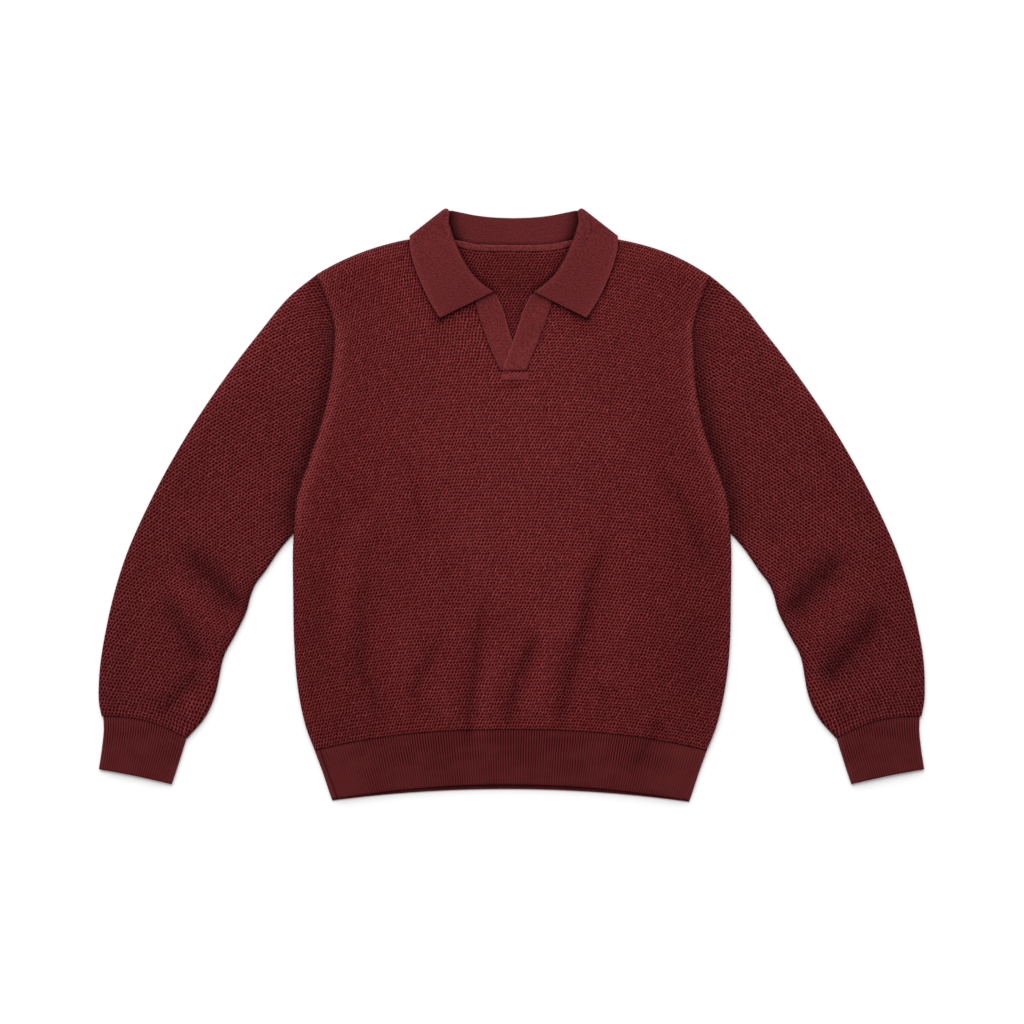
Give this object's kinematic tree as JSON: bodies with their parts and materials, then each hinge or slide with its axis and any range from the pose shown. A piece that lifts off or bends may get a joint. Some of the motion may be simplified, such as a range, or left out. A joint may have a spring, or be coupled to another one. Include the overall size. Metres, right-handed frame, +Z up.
{
  "type": "sweater",
  "caption": "Long-sleeved knitted polo sweater with an open collar and a buttonless V placket, laid flat with its front up and its sleeves spread.",
  "frame": {"origin": "on the surface it rests on, under the middle of the whole garment's bounding box", "axes": "+X towards the wearer's left sleeve, +Y from the hem towards the neck, +Z up out of the front's face"},
  "size_m": [1.0034, 0.7195, 0.0126],
  "materials": {
    "tuck_knit": "matt burgundy tuck knit with small dark pits",
    "rib_knit": "matt burgundy rib knit",
    "fine_knit": "matt burgundy fine knit",
    "tape_knit": "matt burgundy fine knit tape"
  },
  "bodies": {
    "root": {"front": "tuck_knit", "back": "tuck_knit", "sleeve_left": "tuck_knit", "sleeve_right": "tuck_knit", "hem_front": "rib_knit", "hem_back": "rib_knit", "cuff_left": "rib_knit", "cuff_right": "rib_knit", "collar": "fine_knit", "placket_left": "fine_knit", "placket_right": "fine_knit", "placket_bar": "fine_knit", "neck_tape": "tape_knit"}
  },
  "joints": []
}
